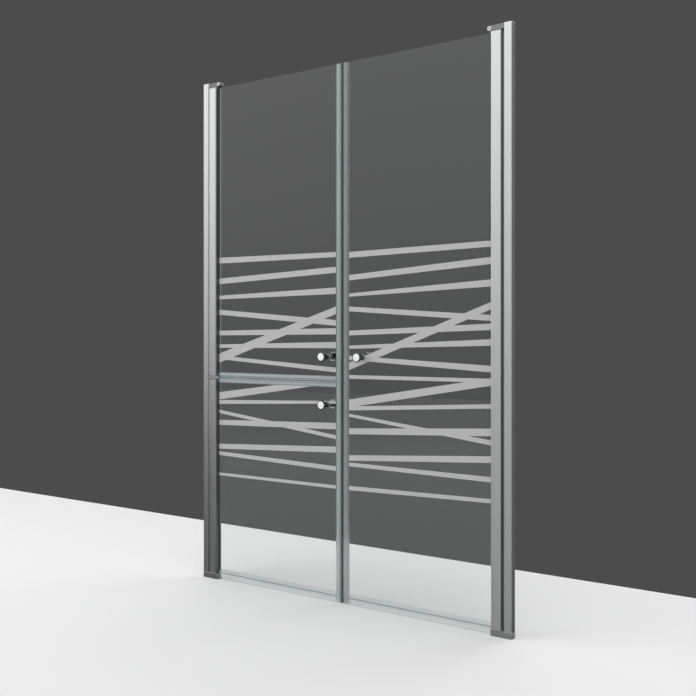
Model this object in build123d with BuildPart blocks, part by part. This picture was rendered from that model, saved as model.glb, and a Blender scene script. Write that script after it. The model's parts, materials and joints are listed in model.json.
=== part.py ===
"""Saloon shower screen for a niche: glass leaves on vertical pivots, the left one split like a stable door.

Frame: X runs from the left wall to the right wall, Y runs into the shower, Z is up.
The origin is on the floor of the opening, midway between the walls, in the plane of the glass.
Everything is drawn for the left wall, and the right-hand pieces are mirrored from it.
"""

from build123d import *
from math import hypot
import os

# The opening that the screen fills
overall_height = 1900.0
overall_width = 1300.0

# Wall channel, screwed to the wall, and the frame profile that slides over it
channel_reach = 22.0
channel_wall = 1.5
frame_reach = 26.5
frame_depth = 24.0
frame_wall = 1.6
frame_corner = 1.2
frame_lip_gap = 1.0
slide_clearance = 0.3
wall_hole_diameter = 5.0
wall_hole_spacings = (1700.0, 560.0)
cap_thickness = 1.5
cap_tongue = 6.0
cap_clearance = 0.2

# Groove in the frame profile and the seal that closes the gap to the pivot profile
groove_mouth = 2.4
groove_width = 4.4
groove_depth = 2.4
groove_lip = 1.0
groove_wall = 1.0
side_seal_clearance = 0.2
side_seal_width = 7.0
side_seal_height = 1.0

# Pivot profile, a rounded box section with a slot for the glass
# The corners on the wall side are round enough to swing past the frame profile and its seal
pivot_gap = 6.5
pivot_depth = 35.0
pivot_back = 17.5
pivot_nose = 19.5
pivot_wall = 1.8
pivot_corner = 5.0
web_offset = 7.0
web_thickness = 1.5
slot_wall = 1.5
pocket_corner = 2.0

# Glass and the gaskets that hold it in the pivot profile
glass_thickness = 6.0
glass_edge_gap = 0.5
gasket_gap = 2.0
gasket_clearance = 0.05
gasket_lip_reach = 4.0
gasket_lip_height = 0.8
gasket_tip = 0.6
seam_gap = 15.0

# Magnetic seals on the closing edges, drip seals below and split seals between the left leaves
seal_wall = 1.0
seal_clearance = 0.1
seam_clearance = 0.4
magnetic_grip_left = 16.0
magnetic_grip_right = 24.0
magnet_box_depth = 10.4
magnet_box_wall = 0.9
magnet_clearance = 0.1
seal_end_gap = 0.3
seal_floor_gap = 5.0
channel_base = 1.5
drip_grip = 14.0
drip_lip_gap = 3.0
drip_lip_thickness = 1.2
drip_fin_drop = 11.0
drip_fin_root = 2.4
drip_fin_tip = 1.0
drip_fin_lean = 9.0
split_grip = 12.0
split_bulb_width = 6.4
split_bulb_round = 1.4

# Top brackets plug into the frame profiles, and bottom brackets stand under them on the tray
bracket_height = 16.5
bracket_nose_reach = 15.0
bracket_slit = 1.6
spigot_start = 6.0
spigot_clearance = 0.2
bracket_edge = 0.8
foot_height = 20.0
foot_nose_reach = 4.0
foot_corner = 3.0
foot_tongue = 24.0
foot_tongue_length = 14.0
foot_swing_gap = 2.0

# Pinch clamp across the nose of each top bracket
clamp_screw_diameter = 6.0
clamp_head_diameter = 14.5
clamp_head_height = 4.0
clamp_head_proud = 0.5
clamp_socket = 6.0
clamp_socket_depth = 3.0
clamp_clearance = 0.2

# Pivot pins, the flanged bushes they turn in, and the end plugs that hold the bushes
pin_diameter = 8.0
pin_fit = 0.05
pin_engagement = 16.0
pin_recess = 2.0
pin_chamfer = 0.8
bush_wall = 1.4
bush_barrel = 15.0
bush_flange = 1.0
bush_flange_diameter = 16.0
bush_seat_clearance = 0.02
running_gap = 0.3
plug_plate = 3.0
plug_body = 25.0
plug_bore_spare = 2.0
plug_clearance = 0.15

# Split of the left leaf and the thin bracket that carries both halves there
split_height = 771.0
mid_bracket_thickness = 6.0
mid_bracket_width = 22.0

# Screws through the back of the frame profile, under push-on caps
frame_screw_diameter = 3.9
frame_screw_clearance = 0.1
frame_screw_head = 7.5
frame_screw_head_height = 2.4
frame_screw_length = 12.0
frame_screw_reach = 14.0
frame_screw_heights = (420.0, 950.0, 1480.0)
cap_wall = 1.2
cap_fit = 0.2

# Knobs, in pairs through a hole in the glass, at set distances above and below the split
knob_inset_left = 55.0
knob_inset_right = 80.0
knob_rise = 87.0
knob_drop = 81.0
knob_head_diameter = 33.0
knob_head_length = 9.0
knob_head_edge = 1.2
knob_neck_diameter = 16.0
knob_foot_diameter = 20.0
knob_foot_length = 3.0
knob_length = 37.0
knob_bore_depth = 22.0
stud_diameter = 6.0
stud_clearance = 0.1
stud_end_gap = 2.0
washer_diameter = 20.0
washer_thickness = 1.0
glass_hole_diameter = 12.0
washer_barrel_clearance = 0.2

# Places worked out from the sizes above, for the left side
wall_x = -overall_width / 2
frame_face_x = wall_x + frame_reach
axis_x = frame_face_x + pivot_gap + pivot_back
pivot_nose_x = axis_x + pivot_nose
web_x = axis_x + web_offset
slot_floor_x = web_x + web_thickness
glass_hinge_x = slot_floor_x + glass_edge_gap
glass_closing_x = -seam_gap / 2
gasket_end_x = pivot_nose_x + gasket_lip_reach
nose_tip_x = pivot_nose_x + bracket_nose_reach
foot_tip_x = pivot_nose_x + foot_nose_reach
clamp_x = nose_tip_x - bracket_height / 2

profile_bottom = foot_height
profile_top = overall_height - cap_thickness
top_bracket_bottom = profile_top - bracket_height
leaf_stack = running_gap + bush_flange + plug_plate
leaf_bottom = foot_height + leaf_stack
leaf_top = top_bracket_bottom - leaf_stack
upper_leaf_bottom = split_height + mid_bracket_thickness / 2 + leaf_stack
lower_leaf_top = split_height - mid_bracket_thickness / 2 - leaf_stack
knob_height_upper = split_height + knob_rise
knob_height_lower = split_height - knob_drop

channel_width = frame_depth - 2 * (frame_wall + slide_clearance)
channel_inside = channel_width - 2 * channel_wall
spigot_width = channel_inside - 2 * spigot_clearance
slot_width = glass_thickness + 2 * gasket_gap
pin_radius = pin_diameter / 2
bush_radius = pin_radius + pin_fit + bush_wall
glass_face = glass_thickness / 2
seal_half = glass_face + seal_clearance + seal_wall

LEFT, RIGHT = "left", "right"
BOTH_SIDES = (LEFT, RIGHT)
TO_ROOM, TO_SHOWER = -1, 1


def save(piece, label):
    """Label a finished piece and write it to its own file."""
    piece.part.label = label
    export_step(piece.part, f"parts/{label}.step")


def for_side(piece, side):
    """A piece drawn for the left wall, mirrored when it belongs to the right one."""
    if side == LEFT:
        return piece
    with BuildPart() as mirrored:
        add(mirror(piece.part, about=Plane.YZ))
    return mirrored


def turned_plane(x, y, z, out):
    """A horizontal sketch plane whose second axis points out of the glass, for shapes turned about Y."""
    return Plane(origin=(x, y, z), x_dir=(1, 0, 0), z_dir=(0, 0, out))


def block(x0, x1, depth, z0, z1, mode=Mode.ADD):
    """A box between two X places and two heights, centred on the plane of the glass."""
    with Locations(((x0 + x1) / 2, 0, (z0 + z1) / 2)):
        Box(x1 - x0, depth, z1 - z0, mode=mode)


# Fixed frame


def wall_channel(side):
    """U channel whose web lies on the wall, with holes for the wall screws and the frame screws."""
    with BuildPart() as channel:
        with BuildSketch(Plane.XY.offset(profile_bottom)):
            with Locations((wall_x + channel_reach / 2, 0)):
                Rectangle(channel_reach, channel_width)
            with Locations((wall_x + (channel_reach + channel_wall) / 2, 0)):
                Rectangle(channel_reach - channel_wall, channel_inside, mode=Mode.SUBTRACT)
        extrude(amount=profile_top - profile_bottom)
        with BuildSketch(Plane.YZ.offset(wall_x)):
            for spacing in wall_hole_spacings:
                with Locations((0, overall_height / 2)):
                    with GridLocations(0, spacing, 1, 2):
                        Circle(wall_hole_diameter / 2)
        extrude(amount=channel_wall, mode=Mode.SUBTRACT)
        with BuildSketch(Plane.XZ.offset(-channel_width / 2)):
            with Locations(*frame_screw_places(side)):
                Circle(frame_screw_diameter / 2 + frame_screw_clearance)
        extrude(amount=channel_wall, mode=Mode.SUBTRACT)
    return channel


def frame_screw_places(side):
    """X and Z of the screws down the back of one frame profile; each bracket is held by one of them."""
    heights = [profile_bottom + foot_tongue / 2, *frame_screw_heights, profile_top - bracket_height / 2]
    if side == LEFT:
        heights.append(split_height)
    return [(wall_x + frame_screw_reach, height) for height in heights]


def frame_screw_bore(height):
    """Bore for a frame screw in the back of a bracket's tongue."""
    depth = frame_screw_length - frame_wall - channel_wall
    place = Location((wall_x + frame_screw_reach, (spigot_width - depth) / 2, height), (90, 0, 0))
    with Locations(place):
        Cylinder(frame_screw_diameter / 2 + bush_seat_clearance, depth, mode=Mode.SUBTRACT)


def frame_profile(side):
    """Box-shaped cover that slides over the wall channel, with a groove for the side seal."""
    boss_depth = groove_lip + groove_depth + groove_wall
    length = frame_reach - frame_lip_gap
    notch_width = spigot_width + 2 * spigot_clearance
    with BuildPart() as frame:
        with BuildSketch(Plane.XY.offset(profile_bottom)) as section:
            with Locations((frame_face_x - length / 2, 0)):
                Rectangle(length, frame_depth)
            fillet(section.vertices().group_by(Axis.X)[-1], radius=frame_corner)
            with Locations((frame_face_x - frame_wall - (length - frame_wall) / 2, 0)):
                Rectangle(length - frame_wall, frame_depth - 2 * frame_wall, mode=Mode.SUBTRACT)
            with Locations((frame_face_x - boss_depth / 2, 0)):
                Rectangle(boss_depth, groove_width + 2 * groove_wall)
            with Locations((frame_face_x - groove_lip - groove_depth / 2, 0)):
                Rectangle(groove_depth, groove_width, mode=Mode.SUBTRACT)
            with Locations((frame_face_x - groove_lip / 2, 0)):
                Rectangle(groove_lip, groove_mouth, mode=Mode.SUBTRACT)
        extrude(amount=profile_top - profile_bottom)
        notches = [(top_bracket_bottom - spigot_clearance, profile_top)]
        if side == LEFT:
            half_slot = mid_bracket_thickness / 2 + spigot_clearance
            notches.append((split_height - half_slot, split_height + half_slot))
        for low, high in notches:
            block(frame_face_x - boss_depth, frame_face_x, notch_width, low, high, Mode.SUBTRACT)
        with BuildSketch(Plane.XZ.offset(-frame_depth / 2)):
            with Locations(*frame_screw_places(side)):
                Circle(frame_screw_diameter / 2 + frame_screw_clearance)
        extrude(amount=frame_wall, mode=Mode.SUBTRACT)
    return frame


def frame_cap():
    """Plate that closes the top of the wall channel and the frame profile, with a locating tongue."""
    with BuildPart() as cap:
        block(wall_x, frame_face_x, frame_depth, profile_top, overall_height)
        fillet(cap.edges().filter_by(Axis.Z).group_by(Axis.X)[-1], radius=frame_corner)
        block(
            wall_x + channel_wall + cap_clearance,
            wall_x + spigot_start - cap_clearance,
            spigot_width,
            profile_top - cap_tongue,
            profile_top,
        )
    return cap


def side_seal(bottom, top):
    """Soft low seal clipped in the frame's groove, which the corners of the pivot profile just pass."""
    root_start = frame_face_x - groove_lip - groove_depth + side_seal_clearance
    root_end = frame_face_x - groove_lip - side_seal_clearance
    with BuildPart() as seal:
        with BuildSketch(Plane.XY.offset(bottom)):
            with Locations(((root_start + root_end) / 2, 0)):
                Rectangle(root_end - root_start, groove_width - 2 * side_seal_clearance)
            with Locations(((root_end + frame_face_x) / 2, 0)):
                Rectangle(frame_face_x - root_end, groove_mouth - 2 * side_seal_clearance)
            with BuildLine():
                ThreePointArc(
                    (frame_face_x, -side_seal_width / 2),
                    (frame_face_x + side_seal_height, 0),
                    (frame_face_x, side_seal_width / 2),
                )
                Line((frame_face_x, side_seal_width / 2), (frame_face_x, -side_seal_width / 2))
            make_face()
        extrude(amount=top - bottom)
    return seal


def top_bracket():
    """Casting that plugs into the frame profile and reaches over the pivot profile to a round nose.

    The nose is split as far as the pin's bore, and a screw across it pinches the pin.
    """
    bottom, middle = top_bracket_bottom, top_bracket_bottom + bracket_height / 2
    head_radius = clamp_head_diameter / 2 + clamp_clearance
    head_seat = clamp_head_height - clamp_head_proud
    with BuildPart() as bracket:
        with BuildSketch(Plane.XZ):
            with Locations(((frame_face_x + clamp_x) / 2, middle)):
                Rectangle(clamp_x - frame_face_x, bracket_height)
            with Locations((clamp_x, middle)):
                Circle(bracket_height / 2)
        extrude(amount=frame_depth / 2, both=True)
        faces_out = bracket.faces().filter_by(Axis.Y)
        chamfer(faces_out.edges().group_by(Axis.X)[-1], length=bracket_edge)
        block(wall_x + spigot_start, frame_face_x, spigot_width, bottom, profile_top)
        block(axis_x, nose_tip_x, bracket_slit, bottom, profile_top, Mode.SUBTRACT)
        with Locations((axis_x, 0, middle)):
            Cylinder(pin_radius + bush_seat_clearance, bracket_height, mode=Mode.SUBTRACT)
        with BuildSketch(Plane.XZ):
            with Locations((clamp_x, middle)):
                Circle(clamp_screw_diameter / 2 + clamp_clearance)
        extrude(amount=frame_depth / 2, both=True, mode=Mode.SUBTRACT)
        for face_y in (-frame_depth / 2, frame_depth / 2):
            with BuildSketch(Plane.XZ.offset(-face_y)):
                with Locations((clamp_x, middle)):
                    Circle(head_radius)
            extrude(amount=head_seat if face_y > 0 else -head_seat, mode=Mode.SUBTRACT)
        frame_screw_bore(middle)
    return bracket


def bottom_bracket():
    """Casting on the tray under both profiles, with a tongue up into the frame profile."""
    tongue_start = wall_x + spigot_start
    with BuildPart() as bracket:
        block(wall_x, foot_tip_x, frame_depth, 0, foot_height)
        fillet(bracket.edges().filter_by(Axis.Z).group_by(Axis.X)[-1], radius=foot_corner)
        chamfer(bracket.faces().sort_by(Axis.Z)[-1].edges().sort_by(Axis.X)[-3:], length=bracket_edge)
        block(
            tongue_start,
            tongue_start + foot_tongue_length,
            spigot_width,
            foot_height,
            foot_height + foot_tongue,
        )
        with Locations((axis_x, 0, foot_height / 2)):
            Cylinder(pin_radius + bush_seat_clearance, foot_height, mode=Mode.SUBTRACT)
        frame_screw_bore(foot_height + foot_tongue / 2)
    return bracket


def mid_bracket():
    """Thin plate from inside the frame profile to the pivot axis, between the two left leaves."""
    low, high = split_height - mid_bracket_thickness / 2, split_height + mid_bracket_thickness / 2
    with BuildPart() as bracket:
        with BuildSketch(Plane.XY.offset(low)):
            with Locations(((frame_face_x + axis_x) / 2, 0)):
                Rectangle(axis_x - frame_face_x, mid_bracket_width)
            with Locations((axis_x, 0)):
                Circle(mid_bracket_width / 2)
                Circle(pin_radius + bush_seat_clearance, mode=Mode.SUBTRACT)
        extrude(amount=high - low)
        block(wall_x + spigot_start, frame_face_x, spigot_width, low, high)
        frame_screw_bore(split_height)
    return bracket


def pivot_pin(bottom, top):
    """Round steel pin with a chamfer at each end."""
    with BuildPart() as pin:
        with BuildSketch(Plane.XY.offset(bottom)):
            with Locations((axis_x, 0)):
                Circle(pin_radius)
        extrude(amount=top - bottom)
        chamfer(pin.edges().filter_by(GeomType.CIRCLE), length=pin_chamfer)
    return pin


def clamp_screw():
    """Socket screw of the pinch clamp, its head set into the room side of the nose."""
    middle = top_bracket_bottom + bracket_height / 2
    face_y = -frame_depth / 2 - clamp_head_proud
    shank_length = frame_depth
    with BuildPart() as screw:
        with BuildSketch(Plane.XZ.offset(-face_y)):
            with Locations((clamp_x, middle)):
                Circle(clamp_head_diameter / 2)
        extrude(amount=-clamp_head_height)
        chamfer(screw.faces().sort_by(Axis.Y)[0].edges(), length=clamp_head_proud)
        with BuildSketch(Plane.XZ.offset(-face_y)):
            with Locations((clamp_x, middle)):
                Circle(clamp_screw_diameter / 2)
        extrude(amount=-shank_length)
        with BuildSketch(Plane.XZ.offset(-face_y)):
            with Locations((clamp_x, middle)):
                RegularPolygon(clamp_socket / 2, 6)
        extrude(amount=-clamp_socket_depth, mode=Mode.SUBTRACT)
    return screw


def clamp_nut():
    """Round nut of the pinch clamp, set into the shower side of the nose."""
    middle = top_bracket_bottom + bracket_height / 2
    with BuildPart() as nut:
        with BuildSketch(Plane.XZ.offset(-frame_depth / 2 - clamp_head_proud)):
            with Locations((clamp_x, middle)):
                Circle(clamp_head_diameter / 2)
        extrude(amount=clamp_head_height)
        chamfer(nut.faces().sort_by(Axis.Y)[-1].edges(), length=clamp_head_proud)
        with BuildSketch(Plane.XZ.offset(-frame_depth / 2 - clamp_head_proud)):
            with Locations((clamp_x, middle)):
                Circle(clamp_screw_diameter / 2 + bush_seat_clearance)
        extrude(amount=clamp_head_height, mode=Mode.SUBTRACT)
    return nut


def frame_screws(side):
    """Pan-head screws through the back of the frame profile into the channel and the brackets."""
    back_y = frame_depth / 2
    head, shank = frame_screw_head / 2, frame_screw_diameter / 2
    with BuildPart() as screws:
        for x, z in frame_screw_places(side):
            with BuildSketch(turned_plane(x, back_y, z, TO_SHOWER)):
                with BuildLine():
                    Polyline(
                        (0, -frame_screw_length),
                        (shank, shank - frame_screw_length),
                        (shank, 0),
                        (head, 0),
                        (head, frame_screw_head_height / 2),
                        (head / 2, frame_screw_head_height),
                        (0, frame_screw_head_height),
                        close=True,
                    )
                make_face()
            revolve(axis=Axis((x, back_y, z), (0, 1, 0)))
    return screws


def screw_caps(side):
    """Push-on caps that cover the frame screws."""
    back_y = frame_depth / 2
    inside = frame_screw_head / 2 + cap_fit
    inside_height = frame_screw_head_height + cap_fit
    with BuildPart() as caps:
        for x, z in frame_screw_places(side):
            with BuildSketch(turned_plane(x, back_y, z, TO_SHOWER)):
                with BuildLine():
                    Polyline(
                        (inside, 0),
                        (inside + cap_wall, 0),
                        (inside + cap_wall, inside_height),
                        (inside, inside_height + cap_wall),
                        (0, inside_height + cap_wall),
                        (0, inside_height),
                        (inside, inside_height),
                        close=True,
                    )
                make_face()
            revolve(axis=Axis((x, back_y, z), (0, 1, 0)))
    return caps


# Leaves


def pivot_outline():
    """Outer outline of the pivot profile: a box with round corners, set about the pivot axis."""
    with BuildSketch() as outline:
        with Locations((axis_x + (pivot_nose - pivot_back) / 2, 0)):
            RectangleRounded(pivot_back + pivot_nose, pivot_depth, pivot_corner)
    return outline.sketch


def pin_chamber(clearance):
    """Outline of the hollow on the wall side of the web, drawn in by a clearance."""
    back, front = pivot_back - pivot_wall - clearance, web_offset - clearance
    depth = pivot_depth - 2 * (pivot_wall + clearance)
    with BuildSketch() as outline:
        with Locations((axis_x + (front - back) / 2, 0)):
            Rectangle(back + front, depth)
        fillet(outline.vertices().group_by(Axis.X)[0], radius=pivot_corner - pivot_wall - clearance)
    return outline.sketch


def pivot_profile(bottom, top):
    """Extrusion with a pin chamber, a glass slot and a hollow pocket on each side of the slot."""
    pocket_inner = slot_width / 2 + slot_wall
    pocket_outer = pivot_depth / 2 - pivot_wall
    pocket_length = pivot_nose_x - pivot_wall - slot_floor_x
    with BuildPart() as profile:
        with BuildSketch(Plane.XY.offset(bottom)):
            add(pivot_outline())
            add(pin_chamber(0), mode=Mode.SUBTRACT)
            with Locations(((slot_floor_x + pivot_nose_x) / 2, 0)):
                Rectangle(pivot_nose_x - slot_floor_x, slot_width, mode=Mode.SUBTRACT)
            with Locations((slot_floor_x + pocket_length / 2, 0)):
                with GridLocations(0, pocket_inner + pocket_outer, 1, 2):
                    RectangleRounded(
                        pocket_length, pocket_outer - pocket_inner, pocket_corner, mode=Mode.SUBTRACT
                    )
        extrude(amount=top - bottom)
    return profile


def end_plugs(bottom, top):
    """Moulded plugs in both ends of the pivot profile: a cover plate and a body bored for the bush."""
    with BuildPart() as plugs:
        for end, out in ((bottom, -1), (top, 1)):
            with BuildSketch(Plane.XY.offset(end)):
                add(pivot_outline())
            extrude(amount=out * plug_plate)
            with BuildSketch(Plane.XY.offset(end)):
                add(pin_chamber(plug_clearance))
            extrude(amount=-out * plug_body)
            with BuildSketch(Plane.XY.offset(end + out * plug_plate)):
                with Locations((axis_x, 0)):
                    Circle(bush_radius + bush_seat_clearance)
            extrude(amount=-out * (bush_barrel + plug_bore_spare), mode=Mode.SUBTRACT)
    return plugs


def pivot_bushes(bottom, top):
    """Flanged bushes in the end plugs; the lower flange carries the leaf."""
    with BuildPart() as bushes:
        for end, out in ((bottom, -1), (top, 1)):
            seat = end + out * plug_plate
            with BuildSketch(Plane.XY.offset(seat)):
                with Locations((axis_x, 0)):
                    Circle(bush_flange_diameter / 2)
            extrude(amount=out * bush_flange)
            with BuildSketch(Plane.XY.offset(seat)):
                with Locations((axis_x, 0)):
                    Circle(bush_radius)
            extrude(amount=-out * bush_barrel)
            with BuildSketch(Plane.XY.offset(seat + out * bush_flange)):
                with Locations((axis_x, 0)):
                    Circle(pin_radius + pin_fit)
            extrude(amount=-out * (bush_barrel + bush_flange), mode=Mode.SUBTRACT)
    return bushes


def glass(bottom, top, knob_x, knob_height):
    """Toughened glass pane with polished edges and a hole for its knobs."""
    with BuildPart() as pane:
        block(glass_hinge_x, glass_closing_x, glass_thickness, bottom, top)
        with BuildSketch(Plane.XZ):
            with Locations((knob_x, knob_height)):
                Circle(glass_hole_diameter / 2)
        extrude(amount=glass_face, both=True, mode=Mode.SUBTRACT)
    return pane


def glazing_gaskets(bottom, top):
    """Wedge gaskets on both faces of the glass, with a lip that laps the mouth of the slot."""
    inner = glass_face + gasket_clearance
    outer = slot_width / 2 - gasket_clearance
    start = glass_hinge_x + glass_edge_gap
    lip_x = pivot_nose_x + gasket_clearance
    with BuildPart() as gaskets:
        with BuildSketch(Plane.XY.offset(bottom)):
            with BuildLine():
                Polyline(
                    (start, inner),
                    (gasket_end_x, inner),
                    (gasket_end_x, inner + gasket_tip),
                    (lip_x, outer + gasket_lip_height),
                    (lip_x, outer),
                    (start, outer),
                    close=True,
                )
            make_face()
            mirror(about=Plane.XZ)
        extrude(amount=top - bottom)
    return gaskets


def magnetic_seal(bottom, top, grip):
    """Clear seal that grips the closing edge and carries a magnet in a box at the seam."""
    start = glass_closing_x - grip
    box_start, box_end = glass_closing_x + seal_clearance, -seam_clearance / 2
    box_length = box_end - box_start
    with BuildPart() as seal:
        with BuildSketch(Plane.XY.offset(bottom)):
            with Locations(((start + box_end) / 2, 0)):
                Rectangle(box_end - start, 2 * seal_half)
            with Locations(((box_start + box_end) / 2, 0)):
                Rectangle(box_length, magnet_box_depth)
            with Locations(((start + box_start) / 2, 0)):
                Rectangle(
                    box_start - start,
                    2 * (glass_face + seal_clearance),
                    mode=Mode.SUBTRACT,
                )
            with Locations(((box_start + box_end) / 2, 0)):
                Rectangle(
                    box_length - 2 * magnet_box_wall,
                    magnet_box_depth - 2 * magnet_box_wall,
                    mode=Mode.SUBTRACT,
                )
        extrude(amount=top - bottom)
    return seal


def magnet_strip(bottom, top):
    """Flexible magnet inside the seal's box."""
    box_start, box_end = glass_closing_x + seal_clearance, -seam_clearance / 2
    taken = 2 * (magnet_box_wall + magnet_clearance)
    with BuildPart() as strip:
        with BuildSketch(Plane.XY.offset(bottom)):
            with Locations(((box_start + box_end) / 2, 0)):
                Rectangle(box_end - box_start - taken, magnet_box_depth - taken)
        extrude(amount=top - bottom)
    return strip


def edge_channel(edge, to_glass, grip):
    """Section of a channel that grips a horizontal glass edge, in Y and Z."""
    slot_edge = edge - to_glass * seal_clearance
    back = slot_edge - to_glass * channel_base
    tip = edge + to_glass * grip
    with BuildSketch() as section:
        with Locations((0, (back + tip) / 2)):
            Rectangle(2 * seal_half, abs(tip - back))
        with Locations((0, (slot_edge + tip) / 2)):
            Rectangle(2 * (glass_face + seal_clearance), abs(tip - slot_edge), mode=Mode.SUBTRACT)
    return section.sketch


def drip_seal(edge, grip):
    """Channel on the lower glass edge with a straight lip towards the tray and a fin that leans inwards.

    The lip and the fin start far enough from the pivot axis to swing past the bottom bracket.
    """
    back = edge - seal_clearance - channel_base
    start, end = gasket_end_x + seal_end_gap, glass_closing_x - grip - seal_end_gap
    fin_start = axis_x + hypot(foot_tip_x - axis_x, frame_depth / 2) + foot_swing_gap
    with BuildPart() as seal:
        with BuildSketch(Plane.YZ.offset(start)):
            add(edge_channel(edge, 1, drip_grip))
        extrude(amount=end - start)
        with BuildSketch(Plane.YZ.offset(fin_start)):
            with Locations((-seal_half + drip_lip_thickness / 2, (back + drip_lip_gap) / 2)):
                Rectangle(drip_lip_thickness, back - drip_lip_gap)
            with BuildLine():
                Polyline(
                    (0, back),
                    (drip_fin_root, back),
                    (drip_fin_lean, back - drip_fin_drop),
                    (drip_fin_lean - drip_fin_tip, back - drip_fin_drop),
                    close=True,
                )
            make_face()
        extrude(amount=end - fin_start)
    return seal


def split_seal(edge, to_glass, grip):
    """Channel and soft bulb on the glass edge at the split of the left leaf."""
    back = edge - to_glass * (seal_clearance + channel_base)
    bulb_end = split_height + to_glass * seam_clearance / 2
    start, end = gasket_end_x + seal_end_gap, glass_closing_x - grip - seal_end_gap
    with BuildPart() as seal:
        with BuildSketch(Plane.YZ.offset(start)) as section:
            with Locations((0, (back + bulb_end) / 2)):
                Rectangle(split_bulb_width, abs(back - bulb_end))
            tips = section.vertices().sort_by(Axis.Z)
            fillet(tips[:2] if to_glass > 0 else tips[-2:], radius=split_bulb_round)
            add(edge_channel(edge, to_glass, split_grip))
        extrude(amount=end - start)
    return seal


def knob(knob_x, height, out):
    """Turned knob: a foot on the washer, a slim neck and a flat round head, bored for the stud."""
    base = glass_face + washer_thickness
    neck_end = knob_length - knob_head_length
    head, neck, foot = knob_head_diameter / 2, knob_neck_diameter / 2, knob_foot_diameter / 2
    bore = stud_diameter / 2 + stud_clearance
    with BuildPart() as turned:
        with BuildSketch(turned_plane(knob_x, out * base, height, out)) as section:
            with BuildLine():
                Polyline(
                    (bore, 0),
                    (foot, 0),
                    (foot, knob_foot_length),
                    (neck, knob_foot_length + foot - neck),
                    (neck, neck_end),
                    (head, neck_end),
                    (head, knob_length),
                    (0, knob_length),
                    (0, knob_bore_depth),
                    (bore, knob_bore_depth),
                    close=True,
                )
            make_face()
            rim = section.vertices().group_by(Axis.X)[-1]
            fillet(rim, radius=knob_head_edge)
        revolve(axis=Axis((knob_x, 0, height), (0, 1, 0)))
    return turned


def knob_stud(knob_x, height):
    """Threaded stud that joins the two knobs of a pair through the glass."""
    reach = glass_face + washer_thickness + knob_bore_depth - stud_end_gap
    with BuildPart() as stud:
        with BuildSketch(Plane.XZ):
            with Locations((knob_x, height)):
                Circle(stud_diameter / 2)
        extrude(amount=reach, both=True)
    return stud


def knob_washers(knob_x, height):
    """Soft top-hat washers that keep the knobs and the stud off the glass."""
    barrel = glass_hole_diameter / 2 - washer_barrel_clearance
    bore = stud_diameter / 2 + stud_clearance
    with BuildPart() as washers:
        for out in (TO_ROOM, TO_SHOWER):
            with BuildSketch(turned_plane(knob_x, out * glass_face, height, out)):
                with BuildLine():
                    Polyline(
                        (bore, washer_thickness),
                        (washer_diameter / 2, washer_thickness),
                        (washer_diameter / 2, 0),
                        (barrel, 0),
                        (barrel, washer_barrel_clearance - glass_face),
                        (bore, washer_barrel_clearance - glass_face),
                        close=True,
                    )
                make_face()
            revolve(axis=Axis((knob_x, 0, height), (0, 1, 0)))
    return washers


def make_leaf(name, side, bottom, top, knob_inset, knob_height, seal_bottom, seal_top, grip):
    """Every piece of one leaf that is the same on all three."""
    knob_x = glass_closing_x - knob_inset
    pieces = {
        f"pivot_profile_{name}": pivot_profile(bottom, top),
        f"end_plugs_{name}": end_plugs(bottom, top),
        f"pivot_bushes_{name}": pivot_bushes(bottom, top),
        f"glass_{name}": glass(bottom, top, knob_x, knob_height),
        f"glazing_gaskets_{name}": glazing_gaskets(bottom, top),
        f"magnetic_seal_{name}": magnetic_seal(seal_bottom, seal_top, grip),
        f"magnet_strip_{name}": magnet_strip(seal_bottom, seal_top),
        f"knob_outer_{name}": knob(knob_x, knob_height, TO_ROOM),
        f"knob_inner_{name}": knob(knob_x, knob_height, TO_SHOWER),
        f"knob_stud_{name}": knob_stud(knob_x, knob_height),
        f"knob_washers_{name}": knob_washers(knob_x, knob_height),
    }
    for label, piece in pieces.items():
        save(for_side(piece, side), label)


os.makedirs("parts", exist_ok=True)

# Fixed frame on each wall
for side in BOTH_SIDES:
    save(for_side(wall_channel(side), side), f"wall_channel_{side}")
    save(for_side(frame_profile(side), side), f"frame_profile_{side}")
    save(for_side(bottom_bracket(), side), f"bottom_bracket_{side}")
    save(for_side(top_bracket(), side), f"top_bracket_{side}")

# Pins, screws and caps that repeat, each kind in one group
low_pin = (pin_recess, foot_height + pin_engagement)
high_pin = (top_bracket_bottom - pin_engagement, profile_top - pin_recess)
with BuildPart() as pins:
    for side in BOTH_SIDES:
        for bottom, top in (low_pin, high_pin):
            add(for_side(pivot_pin(bottom, top), side).part)
save(pins, "pivot_pins")

with BuildPart() as screws:
    for side in BOTH_SIDES:
        add(for_side(clamp_screw(), side).part)
save(screws, "clamp_screws")

with BuildPart() as nuts:
    for side in BOTH_SIDES:
        add(for_side(clamp_nut(), side).part)
save(nuts, "clamp_nuts")

with BuildPart() as back_screws:
    for side in BOTH_SIDES:
        add(for_side(frame_screws(side), side).part)
save(back_screws, "frame_screws")

with BuildPart() as back_caps:
    for side in BOTH_SIDES:
        add(for_side(screw_caps(side), side).part)
save(back_caps, "screw_caps")

with BuildPart() as top_caps:
    for side in BOTH_SIDES:
        add(for_side(frame_cap(), side).part)
save(top_caps, "frame_caps")

# Seals between the frame and the pivot profiles
seal_low = profile_bottom + seal_end_gap
seal_high = top_bracket_bottom - seal_end_gap
plate_half = mid_bracket_thickness / 2 + seal_end_gap
save(for_side(side_seal(seal_low, seal_high), RIGHT), "side_seal_right")
save(side_seal(split_height + plate_half, seal_high), "side_seal_left_upper")
save(side_seal(seal_low, split_height - plate_half), "side_seal_left_lower")

# Bracket that carries the split, with the pin shared by both left leaves
mid_pin_reach = mid_bracket_thickness / 2 + pin_engagement
save(mid_bracket(), "mid_bracket")
save(pivot_pin(split_height - mid_pin_reach, split_height + mid_pin_reach), "mid_pivot_pin")

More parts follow.
